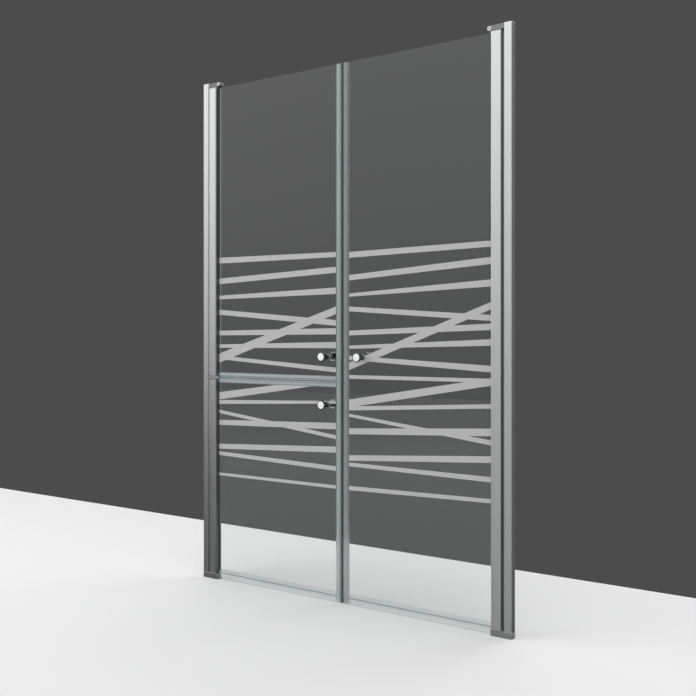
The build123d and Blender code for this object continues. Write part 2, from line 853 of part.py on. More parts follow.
# The three leaves
split_seam = seam_clearance / 2
upper_left_seal = (split_height + split_seam, leaf_top, magnetic_grip_left)
lower_left_seal = (seal_floor_gap, split_height - split_seam, magnetic_grip_left)
right_seal = (seal_floor_gap, leaf_top, magnetic_grip_right)
upper_left_knob, lower_left_knob = (knob_inset_left, knob_height_upper), (knob_inset_left, knob_height_lower)
right_knob = (knob_inset_right, knob_height_upper)
make_leaf("right", RIGHT, leaf_bottom, leaf_top, *right_knob, *right_seal)
make_leaf("upper_left", LEFT, upper_leaf_bottom, leaf_top, *upper_left_knob, *upper_left_seal)
make_leaf("lower_left", LEFT, leaf_bottom, lower_leaf_top, *lower_left_knob, *lower_left_seal)
save(for_side(drip_seal(leaf_bottom, magnetic_grip_right), RIGHT), "drip_seal_right")
save(drip_seal(leaf_bottom, magnetic_grip_left), "drip_seal_lower_left")
save(split_seal(upper_leaf_bottom, 1, magnetic_grip_left), "split_seal_upper_left")
save(split_seal(lower_leaf_top, -1, magnetic_grip_left), "split_seal_lower_left")
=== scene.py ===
# %% [markdown]
# # A saloon shower screen, dressed for its picture
#
# The CAD model is loaded as a fixed frame: bodies, joints and plain solids, in metres.
# X runs from the left wall to the right wall, Y into the shower, Z up.
# This file adds what a solid can't carry: finishes, frosted stripes, soft edges and light.

# %% Load the frame
import json
import math

import bmesh
import bpy
import numpy as np
from mathutils.geometry import tessellate_polygon
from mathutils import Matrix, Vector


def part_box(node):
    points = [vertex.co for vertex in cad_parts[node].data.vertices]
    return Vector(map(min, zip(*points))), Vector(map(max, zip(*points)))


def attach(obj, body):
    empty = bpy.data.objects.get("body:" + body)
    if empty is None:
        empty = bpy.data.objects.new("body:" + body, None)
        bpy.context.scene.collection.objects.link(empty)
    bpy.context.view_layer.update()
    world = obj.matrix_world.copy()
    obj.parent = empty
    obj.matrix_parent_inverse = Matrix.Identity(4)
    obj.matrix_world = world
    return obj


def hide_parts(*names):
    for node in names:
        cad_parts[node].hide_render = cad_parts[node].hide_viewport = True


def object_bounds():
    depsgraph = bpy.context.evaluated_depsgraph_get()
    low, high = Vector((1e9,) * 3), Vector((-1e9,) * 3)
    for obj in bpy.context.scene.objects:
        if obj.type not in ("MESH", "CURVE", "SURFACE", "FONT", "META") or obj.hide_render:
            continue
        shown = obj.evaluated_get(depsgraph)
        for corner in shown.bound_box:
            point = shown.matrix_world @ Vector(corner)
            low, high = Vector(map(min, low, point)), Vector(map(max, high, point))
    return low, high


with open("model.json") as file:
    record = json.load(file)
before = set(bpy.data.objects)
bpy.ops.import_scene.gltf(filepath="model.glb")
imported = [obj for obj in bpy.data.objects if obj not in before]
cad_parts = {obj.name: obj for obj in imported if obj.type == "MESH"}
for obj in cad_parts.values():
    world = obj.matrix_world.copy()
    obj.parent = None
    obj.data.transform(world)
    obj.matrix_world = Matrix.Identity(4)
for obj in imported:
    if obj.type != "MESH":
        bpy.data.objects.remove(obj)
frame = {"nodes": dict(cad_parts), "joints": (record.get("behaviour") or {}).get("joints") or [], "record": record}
cad_box = [list(corner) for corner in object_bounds()]
MM = 0.001
LEAVES = ("right", "upper_left", "lower_left")
BODY_OF = {node: body for body, nodes in frame["record"]["behaviour"]["bodies"].items() for node in nodes}
SLOT_OF = {row["node"]: row["material_slot"] for row in frame["record"]["subparts"]}
print(len(frame["nodes"]), "nodes, box in metres:", cad_box)

# %% [markdown]
# ## The camera
#
# The photograph was taken from the right, 1.9 m off the middle of the screen and 2.7 m in front of it.
# The verticals are parallel in it, so the camera is level, and a small shift lowers the frame instead of a
# tilt. Place, turn and lens were worked out from the vanishing lines, so each piece falls where the
# photograph has it.

# %% Camera
IMAGE_SIDE = 696
FOCAL_PIXELS = 944.1
SHIFT_PIXELS = -16.16
CAMERA_PLACE = (1.9149, -2.666, 0.9451)
CAMERA_TURN = 35.326
camera_data = bpy.data.cameras.new("camera")
camera_data.sensor_width = 36.0
camera_data.lens = camera_data.sensor_width * FOCAL_PIXELS / IMAGE_SIDE
camera_data.shift_y = SHIFT_PIXELS / IMAGE_SIDE
camera_data.clip_start = 0.05
camera = bpy.data.objects.new("camera", camera_data)
camera.location = CAMERA_PLACE
camera.rotation_euler = (math.radians(90), 0, math.radians(CAMERA_TURN))
bpy.context.collection.objects.link(camera)
bpy.context.scene.camera = camera
print("lens", round(camera_data.lens, 2), "mm")

# %% [markdown]
# ## Materials from nodes
#
# Each finish is one Principled shader with a little procedural detail: die lines that run along an extrusion,
# the fine grain of a moulding, the cloud of a soft plastic. One helper starts a material, and another
# makes noise in Object coordinates, which stay with a piece when its leaf swings.

# %% Helpers for materials


def start_material(name, colour, metallic=0.0, roughness=0.5, ior=1.5):
    """A new material with its Principled shader set; returns it and the shader."""
    material = bpy.data.materials.new(name)
    material.use_nodes = True
    shader = material.node_tree.nodes["Principled BSDF"]
    shader.inputs["Base Color"].default_value = (*colour, 1.0)
    shader.inputs["Metallic"].default_value = metallic
    shader.inputs["Roughness"].default_value = roughness
    shader.inputs["IOR"].default_value = ior
    return material, shader


def add_node(material, kind, **inputs):
    """A node in a material or world, with input values given by name (an underscore stands for a space)."""
    node = material.node_tree.nodes.new(kind)
    for name, value in inputs.items():
        node.inputs[name.replace("_", " ")].default_value = value
    return node


def noise(material, scale, stretch=(1, 1, 1), detail=3.0):
    """Noise in the piece's own space; scale is in cells per metre, and stretch divides it along an axis."""
    link = material.node_tree.links.new
    place = add_node(material, "ShaderNodeTexCoord")
    mapping = add_node(material, "ShaderNodeMapping", Scale=tuple(1 / s for s in stretch))
    texture = add_node(material, "ShaderNodeTexNoise", Scale=scale, Detail=detail, Roughness=0.55)
    link(place.outputs["Object"], mapping.inputs["Vector"])
    link(mapping.outputs["Vector"], texture.inputs["Vector"])
    return texture.outputs["Fac"]


def along(material, source, axis, centre=0.0, sign=0):
    """One coordinate of a point ("Object") or a normal ("Normal") in the piece's own space, less a centre.

    With a sign it is multiplied by it, and without one its absolute value is taken.
    """
    link = material.node_tree.links.new
    place = add_node(material, "ShaderNodeTexCoord")
    split = add_node(material, "ShaderNodeSeparateXYZ")
    link(place.outputs[source], split.inputs["Vector"])
    moved = combine(material, "SUBTRACT", split.outputs[axis], centre)
    return combine(material, "MULTIPLY", moved, sign) if sign else combine(material, "ABSOLUTE", moved)


def combine(material, operation, *values):
    """A sum, product or the like of sockets and numbers."""
    node = add_node(material, "ShaderNodeMath")
    node.operation = operation
    for slot, value in enumerate(values):
        if isinstance(value, (int, float)):
            node.inputs[slot].default_value = value
        else:
            material.node_tree.links.new(value, node.inputs[slot])
    return node.outputs["Value"]


def ease(material, factor, start, end, low=0.0, high=1.0):
    """A number that goes from low to high as a factor goes from start to end."""
    spread = add_node(material, "ShaderNodeMapRange", From_Min=start, From_Max=end, To_Min=low, To_Max=high)
    material.node_tree.links.new(factor, spread.inputs["Value"])
    return spread.outputs["Result"]


def vary(material, shader, socket, factor, low, high, start=0.3, end=0.7):
    """Drive a number on the shader from low to high as a factor goes from start to end."""
    material.node_tree.links.new(ease(material, factor, start, end, low, high), shader.inputs[socket])


def ramp(material, factor, stops, blend="LINEAR"):
    """A colour that follows a factor; a stop is (place, colour), and the stops are in order of place."""
    node = add_node(material, "ShaderNodeValToRGB")
    node.color_ramp.interpolation = blend
    while len(node.color_ramp.elements) < len(stops):
        node.color_ramp.elements.new(1.0)
    for element, (place, colour) in zip(node.color_ramp.elements, stops):
        element.position, element.color = place, (*colour, 1.0)
    material.node_tree.links.new(factor, node.inputs["Fac"])
    return node.outputs["Color"]


def tint(material, shader, factor, first, last, start=0.3, end=0.7):
    """Drive the base colour from the first to the last as a factor goes from start to end."""
    colour = ramp(material, factor, ((start, first), (end, last)))
    material.node_tree.links.new(colour, shader.inputs["Base Color"])


def raise_grain(material, shader, factor, depth, strength):
    """Bump by a factor, depth in metres."""
    bump = add_node(material, "ShaderNodeBump", Strength=strength, Distance=depth)
    material.node_tree.links.new(factor, bump.inputs["Height"])
    material.node_tree.links.new(bump.outputs["Normal"], shader.inputs["Normal"])


def mix_shaders(material, factor, first, second, output):
    """Send the first shader to the output where the factor is 0, and the second where it is 1."""
    mix = add_node(material, "ShaderNodeMixShader")
    for socket, source in zip(mix.inputs, (factor, first, second)):
        material.node_tree.links.new(source, socket)
    material.node_tree.links.new(mix.outputs["Shader"], material.node_tree.nodes[output].inputs["Surface"])


def grey(level, warmth=0.0):
    """A grey of one level, a touch warmer or cooler."""
    return (level * (1 + warmth), level, level * (1 - warmth))


print("a middle grey and a warm one:", grey(0.5), grey(0.5, 0.01))

# %% [markdown]
# ## Metals
#
# The profiles are bright anodised aluminium: pressed through a die, so faint lines run along them, and
# chemically brightened, so they mirror a soft picture of the room. Noise stretched two thousand times along Z
# gives the lines. Their flanks stand in the shade, so they get a darker tone by the way their surface faces.
# The brackets are cast and polished, in a dark tone; the bottom ones are a paler copy, as painted light.
# The knobs are turned and chromed, and painted as a dark mirror with pale highlights.

# %% Metals
LONG, LINE_SCALE = (1, 1, 2000), 1400
WARM, COOL, ANODISED = 0.01, -0.01, -0.006
FLANK_START, FLANK_END = 0.2, 0.7


def aluminium(name, level, low, high, depth, flank=0, shade=1.0):
    """Extruded aluminium with die lines along Z, as rough as from low to high, and depth millimetres deep.

    Shade is the tone of its flanks against its face: of both of them, or of the one at 1 or -1 along X.
    """
    material, shader = start_material(name, grey(level, ANODISED), metallic=1.0)
    lines = noise(material, LINE_SCALE, LONG, detail=4.0)
    if shade < 1:
        face, side = grey(level, ANODISED), grey(level * shade, ANODISED)
        turned_away = along(material, "Normal", "X", sign=flank)
        tint(material, shader, turned_away, face, side, FLANK_START, FLANK_END)
    vary(material, shader, "Roughness", lines, low, high)
    raise_grain(material, shader, lines, depth * MM, 0.15)
    return material


def polished(name, level, low, high, scale=900, depth=0.02):
    """Polished metal with a faint waviness, depth millimetres deep, that breaks up its reflections."""
    material, shader = start_material(name, grey(level, COOL), metallic=1.0)
    cloud = noise(material, scale)
    tint(material, shader, cloud, grey(level * 0.97, COOL), grey(level, COOL))
    vary(material, shader, "Roughness", cloud, low, high)
    raise_grain(material, shader, cloud, depth * MM, 0.2)
    return material


FACE_RADIUS, FACE_BLEND = 0.0128, 0.0008
BACK_HEIGHT, BACK_BLEND = 0.0115, 0.001
FRONT_START, FRONT_END = 0.034, 0.036
FACING_START, FACING_END = 0.9, 0.99
MIRROR_ROUGHNESS, PALE_ROUGHNESS, PALE_METALLIC = 0.1, 0.46, 0.45


def turned(name, dark, light, x, z):
    """Chromed knob about a line along Y through (x, z), in metres.

    Its tone is painted: a dark mirror for a painted dark reflection, but for two parts that face along Y, which
    are rougher, less metallic and painted pale as highlights: the middle of the head's face, up to FACE_RADIUS,
    and the top and bottom of the head's back, more than BACK_HEIGHT above or below the line.
    """
    material, shader = start_material(name, grey(light), metallic=1.0)
    above = along(material, "Object", "Z", z)
    beside = along(material, "Object", "X", x)
    squares = [combine(material, "POWER", leg, 2.0) for leg in (beside, above)]
    radius = combine(material, "SQRT", combine(material, "ADD", *squares))
    # The crescents at the top and bottom of the head's back and the pale middle of its face are painted
    # highlights.
    middle = ease(material, radius, FACE_RADIUS, FACE_RADIUS + FACE_BLEND, 1.0, 0.0)
    painted_crescent = ease(material, above, BACK_HEIGHT - BACK_BLEND, BACK_HEIGHT + BACK_BLEND)
    front = ease(material, along(material, "Object", "Y"), FRONT_START, FRONT_END)
    both = combine(
        material, "ADD", combine(material, "MULTIPLY", middle, front),
        combine(material, "MULTIPLY", painted_crescent, combine(material, "SUBTRACT", 1.0, front)))
    facing = ease(material, along(material, "Normal", "Y"), FACING_START, FACING_END)
    pale = combine(material, "MULTIPLY", both, facing)
    vary(material, shader, "Roughness", pale, MIRROR_ROUGHNESS, PALE_ROUGHNESS, 0.0, 1.0)
    vary(material, shader, "Metallic", pale, 1.0, PALE_METALLIC, 0.0, 1.0)
    tint(material, shader, pale, grey(dark, COOL), grey(light), 0.0, 1.0)
    raise_grain(material, shader, noise(material, 2400, (1, 6, 1)), 0.02 * MM, 0.2)
    return material


# The right profiles take a darker copy of the bright finish, rougher too: painted shade, for the side further from
# the light.
BRIGHT, RIGHT_SHADED, MILL = (0.88, 0.24, 0.32, 0.04), (0.83, 0.36, 0.46, 0.04), (0.74, 0.38, 0.5, 0.08)
finishes = {
    "aluminium_bright": aluminium("aluminium_bright", *BRIGHT),
    "frame_left": aluminium("frame_left", *BRIGHT, shade=0.3),
    "frame_right": aluminium("frame_right", *RIGHT_SHADED, flank=1, shade=0.2),
    "pivot_right": aluminium("pivot_right", *RIGHT_SHADED, flank=1, shade=0.3),
    "pivot_left": aluminium("pivot_left", *BRIGHT, shade=0.3),
    "aluminium_mill": aluminium("aluminium_mill", *MILL, shade=0.2),
    "chrome_bracket": polished("chrome_bracket", 0.24, 0.2, 0.3),
    "chrome_fasteners": polished("chrome_fasteners", 0.66, 0.12, 0.2),
    # The bottom brackets' finish is a paler copy of the bracket finish: painted light.
    "chrome_foot": polished("chrome_foot", 0.72, 0.26, 0.36),
    "steel": polished("steel", 0.66, 0.3, 0.4, scale=2500, depth=0.04),
}
# Knob tones: a painted dark reflection, and a painted highlight where the knob is pale.
KNOB_PAINTED_DARK, KNOB_PAINTED_PALE = 0.12, 0.96
for leaf in LEAVES:
    spot = (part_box(f"knob_outer_{leaf}")[0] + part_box(f"knob_outer_{leaf}")[1]) / 2
    finishes[f"chrome_knob_{leaf}"] = turned(f"chrome_knob_{leaf}", KNOB_PAINTED_DARK, KNOB_PAINTED_PALE, spot.x, spot.z)
print("metals:", ", ".join(finishes))

# %% [markdown]
# ## Plastics, rubber and magnet
#
# End plugs, caps, gaskets and bushes are moulded or turned, with a fine spark-eroded grain. Noise of about
# 0.4 mm drives their colour, roughness and bump together, so that no surface has one flat tone.

# %% Plastics
GRAIN_SCALE, GRAIN_DEPTH, GRAIN_SPREAD = 2600, 0.06 * MM, 0.06


def moulding(name, dark, light, roughness, warmth=0.0):
    """Moulded or turned plastic or rubber, grey between two levels, with a fine grain."""
    material, shader = start_material(name, grey(light, warmth), roughness=roughness)
    grain = noise(material, GRAIN_SCALE)
    tint(material, shader, grain, grey(dark, warmth), grey(light, warmth))
    vary(material, shader, "Roughness", grain, roughness - GRAIN_SPREAD, roughness + GRAIN_SPREAD)
    raise_grain(material, shader, grain, GRAIN_DEPTH, 0.4)
    return material


finishes |= {
    "plastic_silver": moulding("plastic_silver", 0.52, 0.58, 0.34),
    "plastic_grey": moulding("plastic_grey", 0.16, 0.2, 0.5),
    "rubber_grey": moulding("rubber_grey", 0.045, 0.06, 0.55),
    "nylon_white": moulding("nylon_white", 0.7, 0.78, 0.4, WARM),
    "magnet_dark": moulding("magnet_dark", 0.02, 0.03, 0.6),
    # A paler copy of the dark magnet, for the left leaves: painted light.
    "magnet_painted_pale": moulding("magnet_painted_pale", 0.34, 0.4, 0.6),
}
print(len(finishes), "finishes so far")

# %% [markdown]
# ## Glass and clear plastic
#
# A ray from the camera bends through the glass, but a ray towards a lamp would stop there and leave a black
# shadow, because Cycles doesn't aim light through a bend. So a Transparent shader takes over for shadow rays.
# The polished edges of float glass look green, since one looks along the sheet: the normal in the piece's own
# space tells an edge from a face, and it still does when the leaf is open.
# The seals let more or less light through from zone to zone, where their walls are thin or thick or hold a
# magnet. A colour ramp with constant steps does that, over the distance from the seam. The left seals are a
# paler copy with their own zones, and that difference is painted light.

# %% Glass and clear plastic


def let_lamps_through(material, shader, passed):
    """Swap the shader for a Transparent one of the passed colour wherever a lamp is being looked for."""
    ray = add_node(material, "ShaderNodeLightPath").outputs["Is Shadow Ray"]
    clear = add_node(material, "ShaderNodeBsdfTransparent", Color=(*passed, 1.0))
    mix_shaders(material, ray, shader.outputs["BSDF"], clear.outputs["BSDF"], "Material Output")


def sheet_glass(name, face, edge, passed):
    """Clear float glass with colours for its faces, its edges and the light that it has passed on."""
    material, shader = start_material(name, face, roughness=0.0)
    shader.inputs["Transmission Weight"].default_value = 1.0
    tint(material, shader, along(material, "Normal", "Y"), edge, face)
    let_lamps_through(material, shader, passed)
    return material


ZONE_SPAN, PLASTIC_IOR = 40.0, 1.4
CLOUD_SCALE, CLOUD_STRETCH, CLOUD_LOW, CLOUD_HIGH, SEAL_LINE_SCALE = 160, (1, 1, 12), 0.7, 1.3, 500


def clear_plastic(name, colour, roughness, through, axis="X", centre=0.0, zones=()):
    """Soft clear plastic: partly see-through, with a slow cloud in its roughness and lines from its die.

    A zone is (start, through): from that many millimetres off the centre along the axis, that share passes.
    """
    material, shader = start_material(name, colour, roughness=roughness, ior=PLASTIC_IOR)
    shader.inputs["Transmission Weight"].default_value = through
    if zones:
        away = ease(material, along(material, "Object", axis, centre), 0.0, ZONE_SPAN * MM)
        stops = [(start / ZONE_SPAN, grey(share)) for start, share in zones]
        steps = ramp(material, away, stops, "CONSTANT")
        material.node_tree.links.new(steps, shader.inputs["Transmission Weight"])
    cloud = noise(material, CLOUD_SCALE, CLOUD_STRETCH)
    vary(material, shader, "Roughness", cloud, roughness * CLOUD_LOW, roughness * CLOUD_HIGH)
    raise_grain(material, shader, noise(material, SEAL_LINE_SCALE, LONG), GRAIN_DEPTH, 0.4)
    let_lamps_through(material, shader, colour)
    return material


RIGHT_ZONES = ((0.0, 0.98), (9.5, 0.84), (18.5, 0.8), (20.0, 0.85), (25.5, 0.96), (30.5, 0.8))
LEFT_ZONES = ((0.0, 0.88), (6.5, 0.6), (8.5, 0.82), (10.5, 0.9), (12.0, 0.74), (19.5, 0.92))
SPLIT_ZONES = ((0.0, 0.97), (1.8, 0.75), (7.0, 0.9), (8.5, 0.7), (15.0, 0.8))
SPLIT_HEIGHT = (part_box("split_seal_upper_left")[0].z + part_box("split_seal_lower_left")[1].z) / 2
finishes |= {
    "glass_clear": sheet_glass("glass_clear", (0.95, 0.97, 0.965), (0.5, 0.66, 0.6), (0.93, 0.95, 0.945)),
    "seal_clear": clear_plastic("seal_clear", (0.64, 0.69, 0.68), 0.16, 0.85, zones=RIGHT_ZONES),
    # The left seals are a paler copy of the right ones, with their own zones: painted light.
    "seal_left": clear_plastic("seal_left", (0.68, 0.73, 0.72), 0.16, 0.74, zones=LEFT_ZONES),
    "seal_bulb": clear_plastic("seal_bulb", (0.66, 0.71, 0.72), 0.2, 0.72, "Z", SPLIT_HEIGHT, SPLIT_ZONES),
    "seal_lip": clear_plastic("seal_lip", (0.9, 0.92, 0.92), 0.08, 0.97),
    "washer_clear": clear_plastic("washer_clear", (0.75, 0.78, 0.78), 0.15, 0.7),
}
print(len(finishes), "finishes with glass and seals")

# %% [markdown]
# A node takes the finish of its material slot in the record, unless the photograph shows it otherwise. The bottom
# brackets get a paler copy of the top ones' finish, and the profiles, seals and magnets of the two sides get
# lit and shaded copies of one finish: painted light and shade, where they catch other light.

# %% Which node has which finish
VARIANTS = {
    "bottom_bracket_left": "chrome_foot", "bottom_bracket_right": "chrome_foot",
    "mid_bracket": "aluminium_bright",
    "split_seal_upper_left": "seal_bulb", "split_seal_lower_left": "seal_bulb",
    "drip_seal_right": "seal_lip", "drip_seal_lower_left": "seal_lip",
    "frame_profile_left": "frame_left", "frame_profile_right": "frame_right",
}
for leaf in LEAVES:
    VARIANTS[f"knob_outer_{leaf}"] = VARIANTS[f"knob_inner_{leaf}"] = f"chrome_knob_{leaf}"
    VARIANTS[f"pivot_profile_{leaf}"] = "pivot_right" if leaf == "right" else "pivot_left"
    if leaf != "right":
        # The left leaves' magnets and seals are paler copies of the right ones: painted light.
        VARIANTS[f"magnet_strip_{leaf}"], VARIANTS[f"magnetic_seal_{leaf}"] = "magnet_painted_pale", "seal_left"


def finish_of(node):
    """The finish of a node: its own variant, or else that of its material slot."""
    return finishes[VARIANTS.get(node, SLOT_OF[node])]


for row in frame["record"]["subparts"]:
    mesh = frame["nodes"][row["node"]].data
    mesh.materials.clear()
    mesh.materials.append(finish_of(row["node"]))

# %% [markdown]
# ## Surfaces from formulas
#
# Almost everything here is an extrusion or a turned part. Both could be modelled by hand with Extrude and
# Spin, but a formula keeps each size readable. So one function carries a flat section along an axis,
# one turns an outline about an axis, and one rounds the corners of an outline with true arcs.

# %% Helpers for surfaces
CREASE_DEGREES = 28.0
WELD = 1e-6


def new_piece(name, points, faces, material, smooth=True):
    """A mesh object at the origin: doubles welded, faces turned out, corners over the crease kept sharp."""
    mesh = bpy.data.meshes.new(name)
    mesh.from_pydata(np.asarray(points, float).tolist(), [], faces)
    work = bmesh.new()
    work.from_mesh(mesh)
    bmesh.ops.remove_doubles(work, verts=work.verts, dist=WELD)
    bmesh.ops.dissolve_degenerate(work, edges=work.edges, dist=WELD)
    bmesh.ops.recalc_face_normals(work, faces=work.faces)
    work.to_mesh(mesh)
    work.free()
    mesh.materials.append(material)
    mesh.polygons.foreach_set("use_smooth", np.full(len(mesh.polygons), smooth))
    if smooth:
        mesh.set_sharp_from_angle(angle=math.radians(CREASE_DEGREES))
    piece = bpy.data.objects.new(name, mesh)
    bpy.context.collection.objects.link(piece)
    return piece


def stand_for(piece, node):
    """The piece takes the place and the body of a CAD node, which is hidden."""
    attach(piece, BODY_OF[node])
    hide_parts(node)
    return piece


ARC_STEPS = 6
SHORTEST = 1e-4


def rounded(corners, radii):
    """A closed outline with its corners rounded by arcs.

    At a corner with unit vectors u and v along its sides and the angle w between them, the arc's centre is
    r / sin(w / 2) along the bisector, and the arc touches the sides r / tan(w / 2) from the corner.
    Its points turn evenly from the one side to the other.
    """
    corners = np.asarray(corners, float)
    radii = np.broadcast_to(np.asarray(radii, float), len(corners))
    u, v = np.roll(corners, 1, axis=0) - corners, np.roll(corners, -1, axis=0) - corners
    u /= np.linalg.norm(u, axis=1)[:, None]
    v /= np.linalg.norm(v, axis=1)[:, None]
    w = np.arccos(np.clip((u * v).sum(axis=1), -1, 1))
    bisector = (u + v) / np.linalg.norm(u + v, axis=1)[:, None]
    centre = corners + bisector * (radii / np.sin(w / 2))[:, None]
    touch = (radii / np.tan(w / 2))[:, None]
    start, end = corners + u * touch - centre, corners + v * touch - centre
    turn = (math.pi - w)[:, None]
    s = np.linspace(0, 1, ARC_STEPS + 1)[:, None, None]
    arc = (np.sin((1 - s) * turn) * start + np.sin(s * turn) * end) / np.sin(turn)
    points = (centre + arc).transpose(1, 0, 2).reshape(-1, 2)
    apart = np.linalg.norm(points - np.roll(points, 1, axis=0), axis=1) > SHORTEST
    return points[apart]


ALONG_Z, ALONG_X = (0, 1, 2), (1, 2, 0)


def extrusion(name, parts, order, material):
    """Closed sections carried along an axis, as one piece.

    A part is (outlines, low, high) in millimetres: the first outline is its outside, the others are hollows.
    A point of an outline has two coordinates across, and runs from low to high along the axis.
    """
    points, faces = [], []
    for outlines, low, high in parts:
        base, count = sum(len(block) for block in points), sum(len(outline) for outline in outlines)
        flat = np.vstack(outlines)
        for place in (low, high):
            block = np.empty((count, 3))
            block[:, order[:2]], block[:, order[2]] = flat, place
            points.append(block * MM)
        start = base
        for outline in outlines:
            here = start + np.arange(len(outline))
            ahead = np.roll(here, -1)
            faces += np.column_stack((here, ahead, ahead + count, here + count)).tolist()
            start += len(outline)
        caps = np.array(tessellate_polygon([[(a, b, 0) for a, b in outline] for outline in outlines]))
        faces += (caps + base).tolist() + (caps + base + count).tolist()
    return new_piece(name, np.vstack(points), faces, material)


TURN_STEPS = 96


def lathe(name, parts, material):
    """Outlines turned about lines along Y, as one piece.

    A part is (outline, centre, out): point (r, h) of the closed outline goes to
    centre + (r cos a, out h, r sin a) for every angle a, in millimetres.
    """
    angle = np.linspace(0, 2 * math.pi, TURN_STEPS, endpoint=False)[:, None]
    points, faces = [], []
    for outline, centre, out in parts:
        r, h = outline.T
        ring = np.stack((r * np.cos(angle), out * h + 0 * angle, r * np.sin(angle)), axis=-1)
        index = np.arange(ring[..., 0].size).reshape(TURN_STEPS, len(outline))
        ahead, beside = np.roll(index, -1, axis=0), np.roll(index, -1, axis=1)
        corner = np.roll(ahead, -1, axis=1)
        base = sum(len(block) for block in points)
        faces += (base + np.stack((index, ahead, corner, beside), axis=-1).reshape(-1, 4)).tolist()
        points.append((ring.reshape(-1, 3) + np.asarray(centre)) * MM)
    return new_piece(name, np.vstack(points), faces, material)


BEVEL_SEGMENTS, FLAT_DEGREES = 3, 0.5


def softened(node, width):
    """A copy of a CAD node in its finish, its triangles welded and its edges rounded by a small Bevel."""
    work = bmesh.new()
    work.from_mesh(frame["nodes"][node].data)
    bmesh.ops.remove_doubles(work, verts=work.verts, dist=2 * WELD)
    bmesh.ops.dissolve_limit(work, angle_limit=math.radians(FLAT_DEGREES), verts=work.verts, edges=work.edges)
    work.verts.index_update()
    mesh = bpy.data.meshes.new(f"{node}_edged")
    faces = [[corner.index for corner in face.verts] for face in work.faces]
    mesh.from_pydata([tuple(point.co) for point in work.verts], [], faces)
    work.free()
    mesh.materials.append(finish_of(node))
    mesh.polygons.foreach_set("use_smooth", np.full(len(mesh.polygons), True))
    piece = bpy.data.objects.new(f"{node}_edged", mesh)
    bpy.context.collection.objects.link(piece)
    edges = piece.modifiers.new("edges", "BEVEL")
    edges.width, edges.segments = width * MM, BEVEL_SEGMENTS
    edges.limit_method, edges.angle_limit = "ANGLE", math.radians(CREASE_DEGREES)
    edges.use_clamp_overlap, edges.harden_normals = False, True
    return stand_for(piece, node)


def corners_of(node):
    """Lowest and highest corner of a node, in millimetres."""
    return [np.array(corner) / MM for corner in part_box(node)]


AXIS_OF = {joint["child"]: joint["pos_m"][0] / MM for joint in frame["joints"]}


def hang_of(leaf):
    """Place in X of a leaf's pivot axis, in millimetres, and the sign of the way from it to the seam."""
    axis = AXIS_OF[f"{leaf}_leaf"]
    return axis, -math.copysign(1, axis)


for leaf in LEAVES:
    print(leaf, "leaf turns about x =", round(hang_of(leaf)[0], 1), "mm")

# %% [markdown]
# ## Pivot profiles
#
# Each leaf hangs in a rounded box of aluminium, extruded with everything in one section: a chamber for the
# pin's plug, a slot for the glass and a hollow pocket on either side of the slot. The CAD solid is right,
# but its round corners are coarse facets, and the photograph shows smooth ones. So the section is drawn again
# with fine arcs about the pivot axis, with the sizes of the real wall, web and slot.

# %% Pivot profiles
PIVOT_CORNER, PIVOT_WALL, POCKET_CORNER, EDGE_BREAK = 5.0, 1.8, 2.0, 0.35
WEB_START, WEB_END, SLOT_HALF, SLOT_WALL = 7.0, 8.5, 5.0, 1.5


def pivot_section(back, nose, half):
    """Outlines about the axis: back and nose are its reaches in X, and half is its reach in Y."""
    outside = rounded(
        [(-back, -half), (nose, -half), (nose, -SLOT_HALF), (WEB_END, -SLOT_HALF),
         (WEB_END, SLOT_HALF), (nose, SLOT_HALF), (nose, half), (-back, half)],
        [PIVOT_CORNER] * 2 + [EDGE_BREAK] * 4 + [PIVOT_CORNER] * 2,
    )
    inner, depth = PIVOT_CORNER - PIVOT_WALL, half - PIVOT_WALL
    chamber = rounded(
        [(PIVOT_WALL - back, -depth), (WEB_START, -depth), (WEB_START, depth), (PIVOT_WALL - back, depth)],
        [inner, EDGE_BREAK, EDGE_BREAK, inner],
    )
    low, front = SLOT_HALF + SLOT_WALL, nose - PIVOT_WALL
    pocket = rounded([(WEB_END, low), (front, low), (front, depth), (WEB_END, depth)], POCKET_CORNER)
    return [outside, chamber, pocket, pocket * (1, -1)]


for leaf in LEAVES:
    node = f"pivot_profile_{leaf}"
    low, high = corners_of(node)
    axis, inwards = hang_of(leaf)
    reaches = sorted((abs(low[0] - axis), abs(high[0] - axis)))
    section = [outline * (inwards, 1) + (axis, 0) for outline in pivot_section(*reaches, high[1])]
    piece = extrusion(f"{node}_smooth", [(section, low[2], high[2])], ALONG_Z, finish_of(node))
    print(stand_for(piece, node).name, len(piece.data.polygons), "faces")

# %% [markdown]
# ## Gaskets
#
# A wedge gasket on each face holds the glass in the slot, and its lip laps the mouth of the slot. It is
# extruded rubber, so its visible edges are round. The soft seals in the frame's grooves keep their CAD shape,
# because hardly anything of them shows.

# %% Gaskets
GLASS_FACE, GASKET_CLEAR, GASKET_TIP, LIP_HEIGHT = 3.0, 0.05, 0.6, 0.8

for leaf in LEAVES:
    node = f"glazing_gaskets_{leaf}"
    low, high = corners_of(node)
    axis, inwards = hang_of(leaf)
    nose = max(abs(corners_of(f"pivot_profile_{leaf}") - np.array((axis, 0, 0)))[:, 0])
    start, end = sorted((abs(low[0] - axis), abs(high[0] - axis)))
    inner, outer, lip = GLASS_FACE + GASKET_CLEAR, SLOT_HALF - GASKET_CLEAR, nose + GASKET_CLEAR
    wedge = rounded(
        [(start, inner), (end, inner), (end, inner + GASKET_TIP),
         (lip, outer + LIP_HEIGHT), (lip, outer), (start, outer)],
        [0.2, 0.2, 0.25, 0.3, 0.02, 0.2],
    )
    parts = [([wedge * (inwards, face) + (axis, 0)], low[2], high[2]) for face in (1, -1)]
    piece = extrusion(f"{node}_round", parts, ALONG_Z, finish_of(node))
    print(stand_for(piece, node).name, len(piece.data.polygons), "faces")

